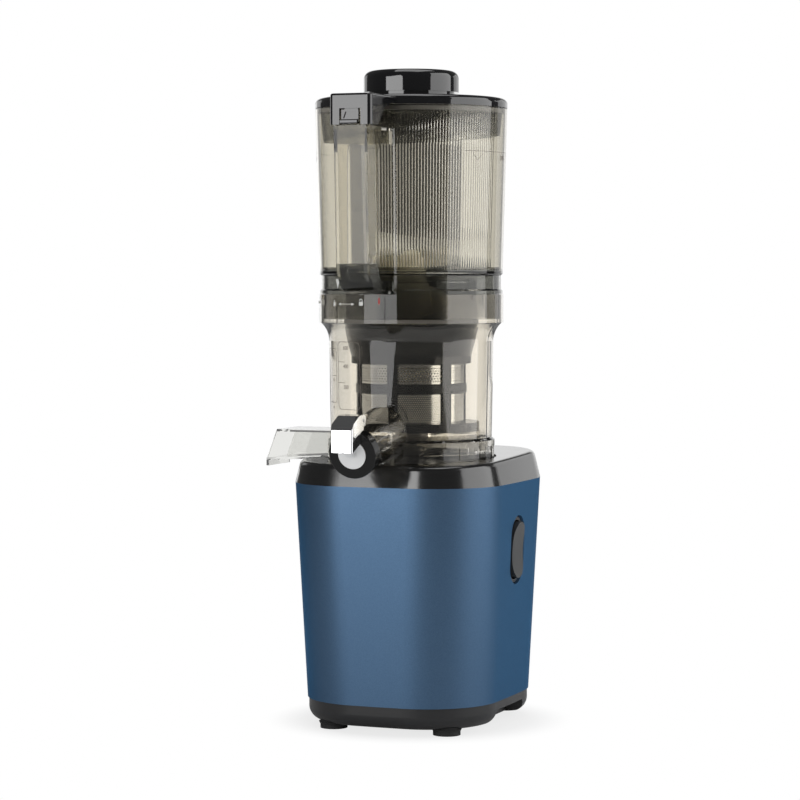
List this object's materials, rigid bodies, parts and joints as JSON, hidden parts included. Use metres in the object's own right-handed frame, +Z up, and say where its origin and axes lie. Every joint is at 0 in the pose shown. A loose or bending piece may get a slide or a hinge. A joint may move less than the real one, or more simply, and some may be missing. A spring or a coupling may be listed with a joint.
{
  "type": "cold press juicer",
  "caption": "Upright slow juicer: flared motor base, clear juice bowl with spout and cap, strainer and auger, ribbed hopper with handle and latched lid.",
  "frame": {"origin": "on the table, under the middle of the whole model's outline", "axes": "+Z up along the juicing axis; the spout, handle and lid catch face -Y, the rocker switch is on the +X side, the pulp chute on the -X side"},
  "size_m": [0.1966, 0.2504, 0.5],
  "materials": {
    "blue_paint": "satin metallic paint",
    "black_satin": "fine satin",
    "black_gloss": "high gloss",
    "dark_grey": "satin",
    "smoke_clear": "clear smoke-tinted",
    "dark_smoke": "dark smoke-tinted",
    "ivory": "satin, warm white",
    "strainer_black": "gloss",
    "steel_mesh": "perforated sheet",
    "steel": "ground",
    "zinc": "zinc plated",
    "chrome": "polished plating",
    "white_plug": "polished plating",
    "rubber": "matt",
    "silicone": "satin silicone",
    "laminations": "stacked laminations",
    "alloy": "cast",
    "nylon": "natural",
    "brass": "sintered",
    "board": "laminate"
  },
  "bodies": {
    "base": {"base_shell": "blue_paint", "top_cover": "black_satin", "bottom_pan": "black_satin", "rubber_feet": "rubber", "foot_screws": "zinc", "control_board": "board", "cord_gland": "rubber", "switch_body": "dark_grey", "switch_pin": "steel", "motor_body": "alloy", "motor_stator": "laminations", "motor_bearings": "steel", "reduction_pin": "steel", "gearbox_housing": "alloy", "gearbox_cover": "alloy", "gearbox_screws": "zinc", "drive_bush": "brass", "shaft_seal": "silicone"},
    "rocker": {"switch_rocker": "dark_grey"},
    "rotor": {"motor_rotor": "laminations", "cooling_fan": "nylon", "motor_pinion": "steel"},
    "reduction": {"reduction_gear": "nylon"},
    "drive": {"output_gear": "nylon", "drive_shaft": "steel"},
    "bowl": {"juice_bowl": "smoke_clear", "bowl_seal": "silicone", "strainer_frame": "strainer_black", "strainer_mesh_lower": "steel_mesh", "strainer_mesh_upper": "steel_mesh", "spout_ring": "black_gloss", "cap_pin": "steel"},
    "auger": {"auger": "ivory", "auger_core": "steel"},
    "cap": {"smart_cap": "chrome", "cap_plug": "white_plug"},
    "hopper": {"hopper_base": "dark_smoke", "hopper_seal": "silicone", "hopper_jar": "smoke_clear", "hopper_handle": "smoke_clear", "lid_hinge_pin": "steel"},
    "lid": {"lid_shell": "black_gloss", "lid_knob": "black_gloss", "lid_skirt": "black_gloss", "lid_seal": "silicone", "latch_pin": "steel"},
    "latch": {"lid_latch": "black_gloss"}
  },
  "joints": [
    {"name": "rocker_tilt", "type": "hinge", "parent": "base", "child": "rocker", "pos_m": [0.08823, 0.0298, 0.1353], "axis": [0, 1, 0], "range_deg": [-6, 6]},
    {"name": "motor_spin", "type": "hinge", "parent": "base", "child": "rotor", "pos_m": [0.01466, 0.0378, 0.08], "axis": [0, 0, 1], "continuous": true},
    {"name": "reduction_spin", "type": "hinge", "parent": "base", "child": "reduction", "pos_m": [-0.0191, 0.0253, 0.128], "axis": [0, 0, 1], "continuous": true},
    {"name": "drive_spin", "type": "hinge", "parent": "base", "child": "drive", "pos_m": [0.01466, 0.0128, 0.1395], "axis": [0, 0, 1], "continuous": true},
    {"name": "bowl_lift", "type": "slide", "parent": "base", "child": "bowl", "axis": [0, 0, 1], "range_m": [0, 0.055]},
    {"name": "auger_spin", "type": "hinge", "parent": "bowl", "child": "auger", "pos_m": [0.01466, 0.0128, 0.2261], "axis": [0, 0, 1], "continuous": true},
    {"name": "cap_swing", "type": "hinge", "parent": "bowl", "child": "cap", "pos_m": [0.01466, -0.1032, 0.2391], "axis": [-1, 0, 0], "range_deg": [0, 90]},
    {"name": "hopper_twist", "type": "hinge", "parent": "bowl", "child": "hopper", "pos_m": [0.01466, 0.0128, 0.3304], "axis": [0, 0, 1], "range_deg": [0, 32]},
    {"name": "lid_swing", "type": "hinge", "parent": "hopper", "child": "lid", "pos_m": [0.01466, 0.0918, 0.47], "axis": [-1, 0, 0], "range_deg": [0, 100]},
    {"name": "latch_pull", "type": "hinge", "parent": "lid", "child": "latch", "pos_m": [0.01466, -0.1042, 0.4703], "axis": [-1, 0, 0], "range_deg": [0, 8], "stiffness_Nm_per_rad": 0.02}
  ],
  "couplings": [
    {"joint": "reduction_spin", "follows": "motor_spin", "ratio": -0.2},
    {"joint": "drive_spin", "follows": "motor_spin", "ratio": 0.04},
    {"joint": "auger_spin", "follows": "motor_spin", "ratio": 0.04}
  ]
}
